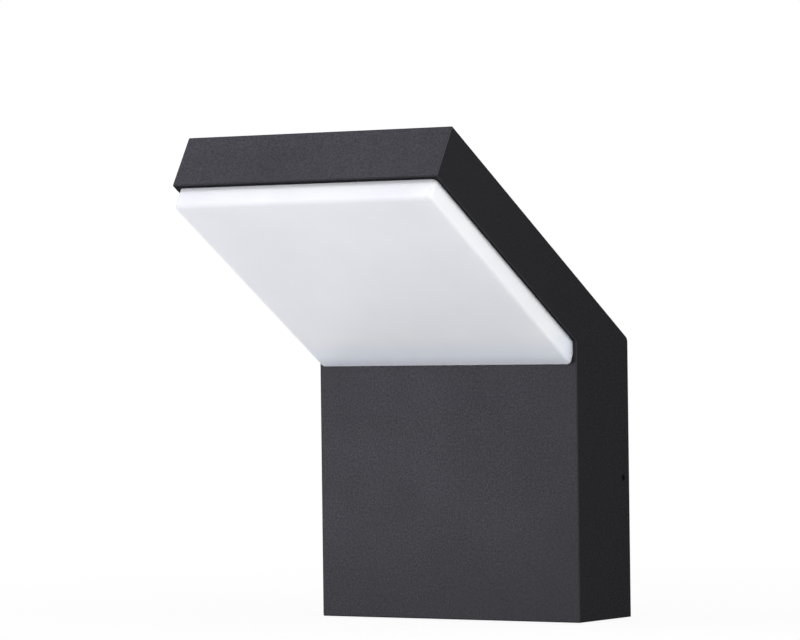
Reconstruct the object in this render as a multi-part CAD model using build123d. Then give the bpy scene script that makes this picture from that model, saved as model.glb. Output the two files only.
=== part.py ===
from build123d import *
from math import cos, radians, sin, tan
import os

os.makedirs("parts", exist_ok=True)

# A fixed outdoor wall light: a box on the wall with a sloping head that holds an opal diffuser.
# The wall is the plane Y = 0, the front looks along -Y, Z is up and the origin lies on the wall,
# midway up the rear edge, at the height of the two side screws.

# Overall form, in millimetres and degrees
width = 140.0
box_depth = 48.0
back_height = 129.5
slope_angle = 31.25
slope_length = 179.5
head_depth = 25.9

# Cast housing
wall = 2.5
roof = 3.0
lip_wall = 2.4
rim_wall = 1.7
web = 2.5
edge_radius = 0.5
corner_radius = 0.6
back_bend_radius = 3.0
cavity_radius = 2.0
cover_seat = 18.0
cover_ledge = 3.0
curtain = 3.0
post_radius = 3.6
post_inset = 3.0
neck_rib = 2.2
neck_rib_spacing = 46.0
drain_hole = 5.0

# Side screws and the pads they are tapped into
side_screw_depth = 6.0
side_screw_hole = 3.0
side_screw_recess = 0.8
side_pad = 2.0
side_pad_width = 10.0
dog_point = 2.0
dog_length = 1.1
socket_width = 1.5
socket_depth = 2.0
socket_sides = 6

# Wall bracket
bracket_sheet = 1.5
bracket_height = 60.0
bracket_flange = 12.0
bracket_bend_radius = 1.5
bracket_corner_radius = 4.0
bracket_clearance = 0.4
fixing_spacing = 76.0
fixing_slot_length = 14.0
fixing_slot_width = 5.0
bracket_cable_hole = 32.0
notch_clearance = 0.4

# Diffuser and its bonded seal
diffuser_drop = 9.8
diffuser_gap = 0.4
diffuser_grip = 8.0
diffuser_wall = 2.2
diffuser_face = 2.5
diffuser_corner_radius = 2.0
diffuser_edge_radius = 1.6
diffuser_inner_radius = 1.0
diffuser_below_edge = 1.05
seal_thickness = 1.5
seal_width = 2.0

# Light source
led_seat = 3.0
pad_thickness = 0.5
board_thickness = 1.6
board_margin = 7.0
board_corner_radius = 2.0
led_rows = 6
led_width = 2.8
led_length = 3.5
led_height = 0.7
board_screw_inset = 4.5
connector_width = 8.0
connector_length = 8.0
connector_height = 4.2
connector_inset = 2.0
connector_entry = 3.0

# Leads and wires
lead_diameter = 1.6
lead_spacing = 3.0
lead_bend = 3.5
lead_turn_room = 8.0
lead_run_out = 4.0
wire_diameter = 2.2
wire_spacing = 4.0
wire_bend = 4.0
wire_corner_bend = 9.0
wire_clearance = 0.2
wire_entry = 4.0
wire_run_out = 5.0

# Lead grommet in the wall between box and head
lead_grommet_neck = 6.0
lead_grommet_flange = 9.0
lead_grommet_lip = 1.2

# Driver
driver_height = 36.0
driver_top_room = 6.5
driver_stand_off = 0.5
driver_wall = 1.5
driver_corner_radius = 2.0
driver_lip = 1.5
driver_lid_thickness = 1.5
driver_head_room = 2.4
driver_ear_length = 9.0
driver_ear_width = 9.0
driver_ear_thickness = 2.0
driver_ear_level = 5.5
driver_ear_hole_inset = 4.5
driver_board_stand = 2.0
driver_board_gap = 0.5
driver_post = 4.0
core_length = 20.0
core_width = 9.0
core_height = 12.0
coil_length = 10.0
coil_width = 18.0
coil_height = 6.0
capacitor_diameter = 8.0
capacitor_height = 11.0
capacitor_spacing = 11.0
driver_part_offset = 10.0
exit_inset = 5.0

# Terminal block
pole_spacing = 11.0
terminal_end = 6.0
terminal_width = 20.0
terminal_base = 11.0
terminal_tower = 4.5
tower_diameter = 6.4
terminal_stand = 5.0
terminal_bottom_room = 11.5
terminal_corner_radius = 1.5
clamp_diameter = 4.6
clamp_length = 15.0
clamp_screw = 3.2
clamp_screw_spacing = 9.0
clamp_screw_length = 6.5

# Earth connection
earth_from_centre = 38.0
earth_post_radius = 4.0
ring_diameter = 8.0
ring_sheet = 0.8
ring_neck = 3.4
barrel_wall = 0.5
barrel_length = 6.0
barrel_start = 5.5
washer_diameter = 8.0
washer_thickness = 0.6
earth_rise = 3.0

# Cord clamp for the supply cable
cord_clamp_length = 34.0
cord_clamp_width = 9.0
cord_clamp_thickness = 3.0
cord_clamp_spacing = 25.0
cord_clamp_arch = 1.2
cord_clamp_gap = 9.5
cord_clamp_rise = 11.0

# Back cover, its gasket and the supply grommet
gasket_thickness = 1.5
cover_thickness = 2.0
cover_gap = 0.5
cover_corner_radius = 4.0
spigot_height = 4.0
spigot_wall = 1.6
spigot_gap = 0.4
supply_hole = 13.0
supply_flange = 18.0
supply_lip = 1.8
supply_cable = 8.0

# Fasteners: the pilot holes, their fits, the heads and how far the shanks go in
small_pilot = 2.5
small_clear = 3.4
small_head = 5.6
small_head_height = 2.0
earth_pilot = 3.4
earth_clear = 4.3
earth_head = 7.0
earth_head_height = 2.6
thread_clearance = 0.05
fit_clearance = 0.1
shank_reach = 4.0
board_shank_reach = 3.0
post_shank_reach = 8.5
tip_room = 1.0

# Reference lines that the sizes above lead to
quarter_turn = 90
tilt = radians(slope_angle)
half_width = width / 2
half_back = back_height / 2
floor_z = -half_back
tip_y = -slope_length * cos(tilt)
tip_z = half_back + slope_length * sin(tilt)
front_inside = box_depth - wall
overlap = wall / 2

# Wall plane: X right, Y up and Z the distance in front of the wall
wall_plane = Plane(origin=(0, 0, 0), x_dir=(1, 0, 0), z_dir=(0, -1, 0))
# Head plane: X right, Y down the slope from the front edge and Z square out of the sloped top
head_plane = Plane(origin=(0, tip_y, tip_z), x_dir=(1, 0, 0), z_dir=(0, sin(tilt), cos(tilt)))


def wall_block(sketch, near, far):
    """Solid between two distances in front of the wall."""
    return extrude(wall_plane.offset(near) * sketch, far - near)


def head_block(sketch, near, far):
    """Solid between two depths under the sloped top."""
    return extrude(head_plane.offset(-far) * sketch, far - near)


def side_block(points, thickness):
    """Solid with a given outline in the middle plane and an even thickness across."""
    outline = make_face(Polyline(*points, close=True))
    return extrude(Plane.YZ * outline, thickness / 2, both=True)


def slope_point(x, along, deep):
    """Point given along the slope from the front edge and square under the sloped top."""
    y = tip_y + along * cos(tilt) - deep * sin(tilt)
    z = tip_z - along * sin(tilt) - deep * cos(tilt)
    return (x, y, z)


def roof_height(y, deep):
    """Height of the plane at that depth under the sloped top, above a given Y."""
    return half_back - y * tan(tilt) - deep / cos(tilt)


def cross_height(along, y):
    """Height at which a plane square to the slope passes a given Y."""
    return tip_z - (along - (y - tip_y) * cos(tilt)) / sin(tilt)


def disc_at(points, radius):
    """Discs of one radius at several points of a plane."""
    return Sketch() + [Pos(x, y) * Circle(radius) for x, y in points]


def screw_at(points, plane, seat, reach, pilot, head, head_height):
    """Pan-head screws that stand on a seat and reach forward from it."""
    shank = pilot / 2 - thread_clearance
    screw = Pos(0, 0, reach / 2) * Cylinder(shank, reach)
    screw = screw + Pos(0, 0, -head_height / 2) * Cylinder(head / 2, head_height)
    rim = screw.edges().sort_by(Axis.Z)[0]
    screw = fillet(rim, head_height / 2)
    places = [plane.offset(seat).location * Pos(x, y, 0) for x, y in points]
    return [place * screw for place in places]


def small_screws(points, plane, seat, reach):
    """Small pan-head screws, all of one size."""
    return screw_at(points, plane, seat, reach, small_pilot, small_head, small_head_height)


def wire_along(points, diameter, bends):
    """Round wire along straight runs joined by tangent bends."""
    path = FilletPolyline(*points, radius=bends)
    section = Plane(origin=path @ 0, z_dir=path % 0) * Circle(diameter / 2)
    return sweep(section, path=path)


def write_node(name, solids):
    """One STEP file for one named piece or group of equal pieces."""
    group = solids if isinstance(solids, list) else [solids]
    single = [solid for shape in group for solid in shape.solids()]
    whole = single[0] if len(single) == 1 else Compound(children=single)
    export_step(whole, f"parts/{name}.step")


# Opening for the diffuser, along the slope and across. It runs out through the front wall just
# above the level of the diffuser's face.
diffuser_bottom = head_depth + diffuser_drop
front_edge_depth = diffuser_bottom - diffuser_below_edge
recess_start = lip_wall
recess_end = (front_edge_depth * sin(tilt) - box_depth - tip_y) / cos(tilt)
recess_length = recess_end - recess_start
recess_middle = (recess_start + recess_end) / 2
recess_width = width - 2 * rim_wall
recess_radius = diffuser_corner_radius + diffuser_gap
seat_step = diffuser_gap + seal_width
seat_depth = head_depth - diffuser_grip - seal_thickness
chamber_width = recess_width - 2 * seat_step
chamber_length = recess_length - 2 * seat_step
chamber_end = recess_end - seat_step
web_rear = recess_end + web
web_thickness = seat_step + web

# Opening for the back cover
skirt_low = floor_z + wall
skirt_width = width - 2 * wall
cover_top = roof_height(0, roof) - cover_gap
cover_low = skirt_low + cover_gap
cover_width = skirt_width - 2 * cover_gap
cover_far = cover_seat - gasket_thickness
cover_near = cover_far - cover_thickness
opening_top = cover_top - cover_ledge
opening_low = skirt_low + cover_ledge
opening_width = skirt_width - 2 * cover_ledge
opening_height = opening_top - opening_low
opening_middle = (opening_top + opening_low) / 2
post_points = [
    (side * (opening_width / 2 - post_inset), height)
    for side in (-1, 1)
    for height in (opening_low + post_inset, opening_top - post_inset)
]

# Light source on the seat under the sloped top; its leads leave between two columns of diodes
led_face = roof + led_seat
board_near = led_face + pad_thickness
board_far = board_near + board_thickness
board_width = chamber_width - 2 * board_margin
board_length = chamber_length - 2 * board_margin
led_pitch_x = board_width / led_rows
led_pitch_y = board_length / led_rows
board_screw_x = board_width / 2 - board_screw_inset
board_screw_y = board_length / 2 - board_screw_inset
board_screw_points = [
    (side * board_screw_x, recess_middle + end * board_screw_y)
    for side in (-1, 1)
    for end in (-1, 1)
]
lead_x = (led_rows / 2 - 1) * led_pitch_x
lead_sides = [lead_x - lead_spacing / 2, lead_x + lead_spacing / 2]
lead_depth = board_far + connector_height / 2
lead_bore = lead_diameter / 2 + fit_clearance
wire_bore = wire_diameter / 2 + fit_clearance

# Driver in the upper part of the box, beside the leads' way up, built up from the front wall
driver_half = lead_sides[0] - lead_run_out
driver_far = front_inside - driver_stand_off
driver_floor = driver_far - driver_wall
driver_board_seat = driver_floor - driver_board_stand
driver_part_seat = driver_board_seat - board_thickness
driver_mouth = driver_part_seat - max(core_height, capacitor_height) - driver_head_room
driver_near = driver_mouth - driver_lid_thickness
driver_top = opening_top - driver_top_room
driver_middle = driver_top - driver_height / 2
driver_low = driver_top - driver_height
ear_far = front_inside - driver_ear_level
ear_near = ear_far - driver_ear_thickness
ear_x = driver_half + driver_ear_hole_inset
ear_points = [(side * ear_x, driver_middle) for side in (-1, 1)]

# Terminal block in the lower part of the box
terminal_far = front_inside - terminal_stand
terminal_near = terminal_far - terminal_base
terminal_low = opening_low + terminal_bottom_room
terminal_middle = terminal_low + terminal_width / 2
terminal_length = 2 * (pole_spacing + terminal_end)
wire_level = terminal_far - terminal_base / 2
pole_points = [(place * pole_spacing, terminal_middle) for place in (-1, 0, 1)]
terminal_screw_points = [(side * pole_spacing / 2, terminal_middle) for side in (-1, 1)]
clamp_screw_points = [
    (x, y + end * clamp_screw_spacing / 2)
    for x, y in pole_points
    for end in (-1, 1)
]

# Earth post beside the terminal block and cord clamp above it
earth_x = earth_from_centre
earth_y = terminal_middle + earth_rise
earth_point = (earth_x, earth_y)
earth_seat = wire_level + ring_sheet / 2
cord_clamp_y = terminal_low + terminal_width + cord_clamp_rise
cord_clamp_seat = front_inside - cord_clamp_gap
cord_clamp_points = [(side * cord_clamp_spacing / 2, cord_clamp_y) for side in (-1, 1)]

# Housing: one aluminium casting. The outline runs from the wall under the box, up the front face,
# out along the head's rim, round the front lip and back down the sloped top.
lip_low = slope_point(0, 0, head_depth)
outline_points = [
    (0, floor_z),
    (-box_depth, floor_z),
    (-box_depth, roof_height(-box_depth, head_depth)),
    (lip_low[1], lip_low[2]),
    (tip_y, tip_z),
    (0, half_back),
]
outline = make_face(Polyline(*outline_points, close=True))
bend_vertex = outline.vertices().sort_by_distance((0, half_back))[0]
outline = fillet(bend_vertex, back_bend_radius)
front_vertices = [outline.vertices().sort_by_distance(point)[0] for point in outline_points[1:5]]
outline = fillet(front_vertices, corner_radius)
housing = extrude(Plane.YZ * outline, half_width, both=True)
side_edges = [
    edge
    for face in housing.faces().sort_by(Axis.X)[:: len(housing.faces()) - 1]
    for edge in face.edges()
    if edge.center().Y < -edge_radius
]
housing = fillet(side_edges, edge_radius)

# Rear skirt round the bracket and the sealed box in front of the cover's ledge
web_foot = cross_height(web_rear, -front_inside)
web_top = slope_point(0, web_rear, roof)
skirt_hollow = side_block(
    [
        (overlap, skirt_low),
        (-cover_seat, skirt_low),
        (-cover_seat, roof_height(-cover_seat, roof)),
        (overlap, roof_height(overlap, roof)),
    ],
    skirt_width,
)
box_start = overlap - cover_seat
box_points = [
    (box_start, opening_low),
    (-front_inside, opening_low),
    (-front_inside, web_foot),
    (web_top[1], web_top[2]),
    (box_start, roof_height(box_start, roof)),
]
box_outline = make_face(Polyline(*box_points, close=True))
box_corners = [box_outline.vertices().sort_by_distance(point)[0] for point in box_points[1:4]]
box_outline = fillet(box_corners, cavity_radius)
box_hollow = extrude(Plane.YZ * box_outline, opening_width / 2, both=True)
housing = housing - [skirt_hollow, box_hollow]

# Curtain: the cover's upper seat, which hangs from the sloped top
curtain_y = -cover_seat - curtain
housing = housing + side_block(
    [
        (-cover_seat, opening_top),
        (curtain_y, opening_top),
        (curtain_y, roof_height(curtain_y, roof - overlap)),
        (-cover_seat, roof_height(-cover_seat, roof - overlap)),
    ],
    opening_width + 2 * overlap,
)

# Posts and bosses inside the box, and the pads for the side screws
boss_end = front_inside + overlap
housing = housing + wall_block(disc_at(post_points, post_radius), cover_seat, boss_end)
housing = housing + wall_block(disc_at(ear_points, post_radius), ear_far, boss_end)
housing = housing + wall_block(disc_at(terminal_screw_points, post_radius), terminal_far, boss_end)
housing = housing + wall_block(disc_at(cord_clamp_points, post_radius), cord_clamp_seat, boss_end)
housing = housing + wall_block(disc_at([earth_point], earth_post_radius), earth_seat, boss_end)
pad_outline = Pos(-side_screw_depth / 2, 0) * Rectangle(side_screw_depth, side_pad_width)
pad_outline = pad_outline + Pos(-side_screw_depth, 0) * Circle(side_pad_width / 2)
pad_place = half_width - wall - side_pad
right_pad = extrude(Plane.YZ.offset(pad_place) * pad_outline, side_pad + overlap)
left_pad = mirror(right_pad, about=Plane.YZ)
housing = housing + [right_pad, left_pad]

# Diffuser recess through the rim and the top of the front wall, and the light chamber above it
recess = Pos(0, recess_middle) * RectangleRounded(recess_width, recess_length, recess_radius)
chamber = Pos(0, recess_middle) * RectangleRounded(chamber_width, chamber_length, recess_radius)
housing = housing - head_block(recess, seat_depth, diffuser_bottom + diffuser_drop)
housing = housing - head_block(chamber, roof, seat_depth)

# Raised seat that spreads the light source's heat, and two ribs that stiffen the neck
board_outline = Pos(0, recess_middle) * Rectangle(board_width, board_length)
housing = housing + head_block(board_outline, roof - overlap, led_face)
neck_sheet = side_block(
    [
        (web_top[1], web_top[2]),
        slope_point(0, web_rear, seat_depth)[1:],
        (curtain_y, roof_height(curtain_y, seat_depth)),
        (curtain_y, roof_height(curtain_y, roof)),
    ],
    neck_rib,
)
housing = housing + [Pos(side * neck_rib_spacing / 2, 0, 0) * neck_sheet for side in (-1, 1)]

# Holes: tapped holes, the side screws' holes, the leads' way into the head and a drain under the skirt
small_hole = small_pilot / 2
tapped_depth = shank_reach + tip_room
post_hole_end = cover_seat + post_shank_reach + tip_room
board_hole_top = led_face - board_shank_reach - tip_room
terminal_hole_end = terminal_far + tapped_depth
clamp_hole_end = cord_clamp_seat + tapped_depth
housing = housing - wall_block(disc_at(post_points, small_hole), cover_seat, post_hole_end)
housing = housing - wall_block(disc_at(ear_points, small_hole), ear_far, ear_far + tapped_depth)
housing = housing - wall_block(disc_at(terminal_screw_points, small_hole), terminal_far, terminal_hole_end)
housing = housing - wall_block(disc_at(cord_clamp_points, small_hole), cord_clamp_seat, clamp_hole_end)
housing = housing - wall_block(disc_at([earth_point], earth_pilot / 2), earth_seat, earth_seat + tapped_depth)
housing = housing - head_block(disc_at(board_screw_points, small_hole), board_hole_top, led_face)
across = Rot(0, quarter_turn, 0)
housing = housing - Pos(0, -side_screw_depth, 0) * across * Cylinder(side_screw_hole / 2, 2 * width)
along_slope = Rot(quarter_turn - slope_angle, 0, 0)
lead_hole = along_slope * Cylinder(lead_grommet_neck / 2, 2 * (web_thickness + lead_turn_room))
housing = housing - Pos(*slope_point(lead_x, recess_end, lead_depth)) * lead_hole
housing = housing - Pos(0, -cover_seat / 2, floor_z) * Cylinder(drain_hole / 2, cover_seat)
write_node("housing", housing)

# Wall bracket: a bent steel strip with two fixing slots, a cable hole and open notches for the side screws
bracket_half = pad_place - bracket_clearance
bracket_outer = Pos(0, -bracket_flange / 2) * Rectangle(2 * bracket_half, bracket_flange)
outer_bends = bracket_outer.vertices().group_by(Axis.Y)[-1]
bracket_outer = fillet(outer_bends, bracket_bend_radius + bracket_sheet)
inner_width = 2 * (bracket_half - bracket_sheet)
bracket_inner = Pos(0, -bracket_sheet - bracket_flange / 2) * Rectangle(inner_width, bracket_flange)
inner_bends = bracket_inner.vertices().group_by(Axis.Y)[-1]
bracket_inner = fillet(inner_bends, bracket_bend_radius)
wall_bracket = extrude(bracket_outer - bracket_inner, bracket_height / 2, both=True)
flange_corners = wall_bracket.edges().filter_by(Axis.X).group_by(Axis.Y)[0]
wall_bracket = fillet(flange_corners, bracket_corner_radius)
bracket_holes = Sketch() + Circle(bracket_cable_hole / 2) + [
    Pos(side * fixing_spacing / 2, 0) * SlotOverall(fixing_slot_length, fixing_slot_width)
    for side in (-1, 1)
]
wall_bracket = wall_bracket - wall_block(bracket_holes, -bracket_sheet, 2 * bracket_sheet)
notch_width = dog_point + notch_clearance
notch = Pos(-side_screw_depth - bracket_flange / 2, 0) * Rectangle(bracket_flange, notch_width)
notch = notch + Pos(-side_screw_depth, 0) * Circle(notch_width / 2)
wall_bracket = wall_bracket - extrude(Plane.YZ * notch, half_width, both=True)
write_node("wall_bracket", wall_bracket)

# Side screws: set screws with a dog point, which hold the housing in the bracket's notches
screw_middle = Pos(-side_screw_depth, 0)
side_screw_end = half_width - side_screw_recess
screw_disc = screw_middle * Circle(side_screw_hole / 2 - thread_clearance)
dog_disc = screw_middle * Circle(dog_point / 2)
socket_outline = screw_middle * RegularPolygon(socket_width / 2, socket_sides, major_radius=False)
right_screw = extrude(Plane.YZ.offset(bracket_half) * screw_disc, side_screw_end - bracket_half)
right_screw = right_screw + extrude(Plane.YZ.offset(bracket_half - dog_length) * dog_disc, dog_length)
socket_plane = Plane.YZ.offset(side_screw_end - socket_depth)
right_screw = right_screw - extrude(socket_plane * socket_outline, socket_depth)
write_node("side_screw_right", right_screw)
write_node("side_screw_left", mirror(right_screw, about=Plane.YZ))

# Diffuser: an opal tray with rounded corners and edges, bonded by its rim
diffuser_width = recess_width - 2 * diffuser_gap
diffuser_length = recess_length - 2 * diffuser_gap
diffuser_rim = seat_depth + seal_thickness
diffuser_outline = RectangleRounded(diffuser_width, diffuser_length, diffuser_corner_radius)
diffuser_outline = Pos(0, recess_middle) * diffuser_outline
diffuser = head_block(diffuser_outline, diffuser_rim, diffuser_bottom)
out_of_top = Axis((0, 0, 0), (0, sin(tilt), cos(tilt)))
diffuser = fillet(diffuser.faces().sort_by(out_of_top)[0].edges(), diffuser_edge_radius)
diffuser_hollow = Pos(0, recess_middle) * RectangleRounded(
    diffuser_width - 2 * diffuser_wall, diffuser_length - 2 * diffuser_wall, diffuser_inner_radius
)
diffuser = diffuser - head_block(diffuser_hollow, seat_depth, diffuser_bottom - diffuser_face)
write_node("diffuser", diffuser)

# Seal: the silicone frame between the diffuser's rim and its seat
seal_hole = Pos(0, recess_middle) * RectangleRounded(
    diffuser_width - 2 * seal_width, diffuser_length - 2 * seal_width, diffuser_inner_radius
)
write_node("diffuser_seal", head_block(diffuser_outline - seal_hole, seat_depth, diffuser_rim))

# Light source: heat pad, metal-core board, light-emitting diodes, screws and connector
board_plan = Pos(0, recess_middle) * RectangleRounded(board_width, board_length, board_corner_radius)
board_plan = board_plan - disc_at(board_screw_points, small_clear / 2)
write_node("thermal_pad", head_block(board_plan, led_face, board_near))
write_node("led_board", head_block(board_plan, board_near, board_far))
chip = Pos(0, recess_middle, -board_far - led_height / 2) * Box(led_width, led_length, led_height)
chip_grid = GridLocations(led_pitch_x, led_pitch_y, led_rows, led_rows)
write_node("led_chips", [head_plane.location * place * chip for place in chip_grid])
board_screw_reach = board_thickness + pad_thickness + board_shank_reach
board_screws = small_screws(board_screw_points, head_plane, -board_far, board_screw_reach)
write_node("led_board_screws", board_screws)
connector_low = recess_middle + board_length / 2 - connector_inset
connector_middle = connector_low - connector_length / 2
connector_plan = Pos(lead_x, connector_middle) * Rectangle(connector_width, connector_length)
led_connector = head_block(connector_plan, board_far, board_far + connector_height)
led_connector = led_connector - [
    Pos(*slope_point(x, connector_low, lead_depth)) * along_slope * Cylinder(lead_bore, 2 * connector_entry)
    for x in lead_sides
]
write_node("led_connector", led_connector)

# Lead grommet: a rubber plug with two bores in the wall between the box and the head
grommet_plane = Plane(
    origin=slope_point(lead_x, chamber_end, lead_depth), x_dir=(1, 0, 0), z_dir=(0, cos(tilt), -sin(tilt))
)
lip_disc = Circle(lead_grommet_flange / 2)
lead_bores = disc_at([(-lead_spacing / 2, 0), (lead_spacing / 2, 0)], lead_bore)
lead_grommet = extrude(grommet_plane * Circle(lead_grommet_neck / 2 - fit_clearance), web_thickness)
lead_grommet = lead_grommet + extrude(grommet_plane.offset(-lead_grommet_lip) * lip_disc, lead_grommet_lip)
lead_grommet = lead_grommet + extrude(grommet_plane.offset(web_thickness) * lip_disc, lead_grommet_lip)
lead_grommet = lead_grommet - extrude(grommet_plane * lead_bores, 2 * web_thickness, both=True)
write_node("lead_grommet", lead_grommet)

# Leads: from the driver's upper end, up behind the wall, through the grommet and into the connector
lead_exits = [driver_top - exit_inset, driver_top - exit_inset - lead_spacing]


def lead_path(x, exit_height):
    """Corner points of one lead, from inside the driver to inside the connector."""
    return [
        (driver_half - wire_entry, -wire_level, exit_height),
        (x, -wire_level, exit_height),
        (x, -wire_level, driver_top + lead_bend),
        slope_point(x, web_rear + lead_turn_room, lead_depth),
        slope_point(x, connector_low - connector_entry, lead_depth),
    ]


positive_path = lead_path(lead_sides[0], lead_exits[0])
negative_path = lead_path(lead_sides[1], lead_exits[1])
write_node("led_lead_positive", wire_along(positive_path, lead_diameter, lead_bend))
write_node("led_lead_negative", wire_along(negative_path, lead_diameter, lead_bend))

# Driver: a plastic case with two fixing ears, its lid, circuit board and main components
driver_width = 2 * driver_half
room_width = driver_width - 2 * driver_wall
room_height = driver_height - 2 * driver_wall
driver_place = Pos(0, driver_middle)
driver_plan = driver_place * RectangleRounded(driver_width, driver_height, driver_corner_radius)
driver_room = driver_place * Rectangle(room_width, room_height)
ear_span = driver_width + 2 * driver_ear_length
ear_plan = driver_place * RectangleRounded(ear_span, driver_ear_width, driver_corner_radius)
ear_plan = ear_plan - disc_at(ear_points, small_clear / 2)
driver_case = wall_block(driver_plan, driver_mouth, driver_far)
driver_case = driver_case + wall_block(ear_plan, ear_near, ear_far)
driver_case = driver_case - wall_block(driver_room, driver_near, driver_floor)
stand_grid = GridLocations(room_width - driver_post, room_height - driver_post, 2, 2)
stands = Sketch() + [driver_place * place * Rectangle(driver_post, driver_post) for place in stand_grid]
driver_case = driver_case + wall_block(stands, driver_board_seat, driver_far)
wire_exits = [driver_low + exit_inset, driver_low + exit_inset + wire_spacing]
driver_case = driver_case - [
    Pos(driver_half, -wire_level, height) * across * Cylinder(lead_bore, 2 * wire_entry)
    for height in lead_exits
]
driver_case = driver_case - [
    Pos(-driver_half, -wire_level, height) * across * Cylinder(wire_bore, 2 * wire_entry)
    for height in wire_exits
]
write_node("driver_case", driver_case)
lip_plan = driver_place * Rectangle(room_width - 2 * fit_clearance, room_height - 2 * fit_clearance)
lip_hole = driver_place * Rectangle(room_width - 2 * driver_lip, room_height - 2 * driver_lip)
driver_lid = wall_block(driver_plan, driver_near, driver_mouth)
driver_lid = driver_lid + wall_block(lip_plan - lip_hole, driver_near, driver_mouth + driver_lip)
write_node("driver_lid", driver_lid)
board_gaps = 2 * driver_board_gap
driver_board_plan = driver_place * Rectangle(room_width - board_gaps, room_height - board_gaps)
write_node("driver_board", wall_block(driver_board_plan, driver_part_seat, driver_board_seat))
transformer_place = Pos(-driver_part_offset, driver_middle)
core_plan = transformer_place * Rectangle(core_length, core_width)
coil_plan = transformer_place * RectangleRounded(coil_length, coil_width, driver_corner_radius)
driver_transformer = wall_block(core_plan, driver_part_seat - core_height, driver_part_seat)
driver_transformer = driver_transformer + wall_block(
    coil_plan, driver_part_seat - coil_height, driver_part_seat
)
write_node("driver_transformer", driver_transformer)
capacitor_points = [
    (driver_part_offset, driver_middle + side * capacitor_spacing / 2)
    for side in (-1, 1)
]
capacitor_discs = disc_at(capacitor_points, capacitor_diameter / 2)
capacitors = wall_block(capacitor_discs, driver_part_seat - capacitor_height, driver_part_seat)
write_node("driver_capacitors", capacitors)
driver_screws = small_screws(ear_points, wall_plane, ear_near, driver_ear_thickness + shank_reach)
write_node("driver_screws", driver_screws)

# Terminal block: a three-pole strip with brass clamps and their screws
terminal_plan = RectangleRounded(terminal_length, terminal_width, terminal_corner_radius)
terminal_plan = Pos(0, terminal_middle) * terminal_plan - disc_at(terminal_screw_points, small_clear / 2)
tower_face = terminal_near - terminal_tower
tower_discs = disc_at(clamp_screw_points, tower_diameter / 2)
tower_bores = disc_at(clamp_screw_points, clamp_screw / 2 + thread_clearance)
pole_places = [Pos(x, -wire_level, y) for x, y in pole_points]
pole_bore = Cylinder(clamp_diameter / 2 + fit_clearance, 2 * terminal_width)
terminal_block = wall_block(terminal_plan, terminal_near, terminal_far)
terminal_block = terminal_block + wall_block(tower_discs, tower_face, terminal_near + overlap)
terminal_block = terminal_block - wall_block(tower_bores, tower_face, wire_level)
terminal_block = terminal_block - [place * pole_bore for place in pole_places]
write_node("terminal_block", terminal_block)
terminal_clamp = Cylinder(clamp_diameter / 2, clamp_length)
terminal_clamp = terminal_clamp - Cylinder(wire_diameter / 2 + wire_clearance, 2 * clamp_length)
write_node("terminal_clamps", [place * terminal_clamp for place in pole_places])
clamp_tip = wire_level - clamp_diameter / 2 - thread_clearance
clamp_screw_discs = disc_at(clamp_screw_points, clamp_screw / 2)
write_node("terminal_screws", wall_block(clamp_screw_discs, clamp_tip - clamp_screw_length, clamp_tip))
block_screws = small_screws(terminal_screw_points, wall_plane, terminal_near, terminal_base + shank_reach)
write_node("terminal_block_screws", block_screws)

# Mains wires: live and neutral run round the left of the box to the driver's lower left end
wire_start = terminal_middle - clamp_length / 2 + wire_entry


def mains_path(x, drop, run_x, exit_height):
    """Corner points of one mains wire, from inside its clamp to inside the driver."""
    return [
        (x, -wire_level, wire_start),
        (x, -wire_level, terminal_low - drop),
        (-run_x, -wire_level, terminal_low - drop),
        (-run_x, -wire_level, exit_height),
        (wire_entry - driver_half, -wire_level, exit_height),
    ]


inner_run = driver_half + wire_run_out
mains_bends = [wire_bend, wire_corner_bend, wire_bend]
live_path = mains_path(-pole_spacing, wire_spacing, inner_run, wire_exits[0])
neutral_path = mains_path(0, 2 * wire_spacing, inner_run + wire_spacing, wire_exits[1])
write_node("live_wire", wire_along(live_path, wire_diameter, mains_bends))
write_node("neutral_wire", wire_along(neutral_path, wire_diameter, mains_bends))

# Earth: a wire with a ring terminal, a toothed washer and a screw on its own post
barrel_top = earth_y - barrel_start
barrel_bottom = barrel_top - barrel_length
barrel_bore = wire_diameter / 2 + wire_clearance
ring_face = earth_seat - ring_sheet
earth_path = [
    (pole_spacing, -wire_level, wire_start),
    (pole_spacing, -wire_level, terminal_low - wire_spacing),
    (earth_x, -wire_level, terminal_low - wire_spacing),
    (earth_x, -wire_level, barrel_bottom + wire_entry),
]
write_node("earth_wire", wire_along(earth_path, wire_diameter, wire_bend))
neck_plan = Rectangle(ring_neck, barrel_start + ring_sheet)
ring_plan = Pos(earth_x, earth_y) * Circle(ring_diameter / 2)
ring_plan = ring_plan + Pos(earth_x, (earth_y + barrel_top - ring_sheet) / 2) * neck_plan
ring_plan = ring_plan - Pos(earth_x, earth_y) * Circle(earth_clear / 2)
barrel_place = Pos(earth_x, -wire_level, (barrel_top + barrel_bottom) / 2)
earth_ring = wall_block(ring_plan, ring_face, earth_seat)
earth_ring = earth_ring + barrel_place * Cylinder(barrel_bore + barrel_wall, barrel_length)
earth_ring = earth_ring - barrel_place * Cylinder(barrel_bore, barrel_length)
write_node("earth_ring", earth_ring)
washer_face = ring_face - washer_thickness
washer_plan = Pos(earth_x, earth_y) * (Circle(washer_diameter / 2) - Circle(earth_clear / 2))
write_node("earth_washer", wall_block(washer_plan, washer_face, ring_face))
earth_reach = washer_thickness + ring_sheet + shank_reach
earth_screw = screw_at(
    [earth_point], wall_plane, washer_face, earth_reach, earth_pilot, earth_head, earth_head_height
)
write_node("earth_screw", earth_screw)

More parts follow.
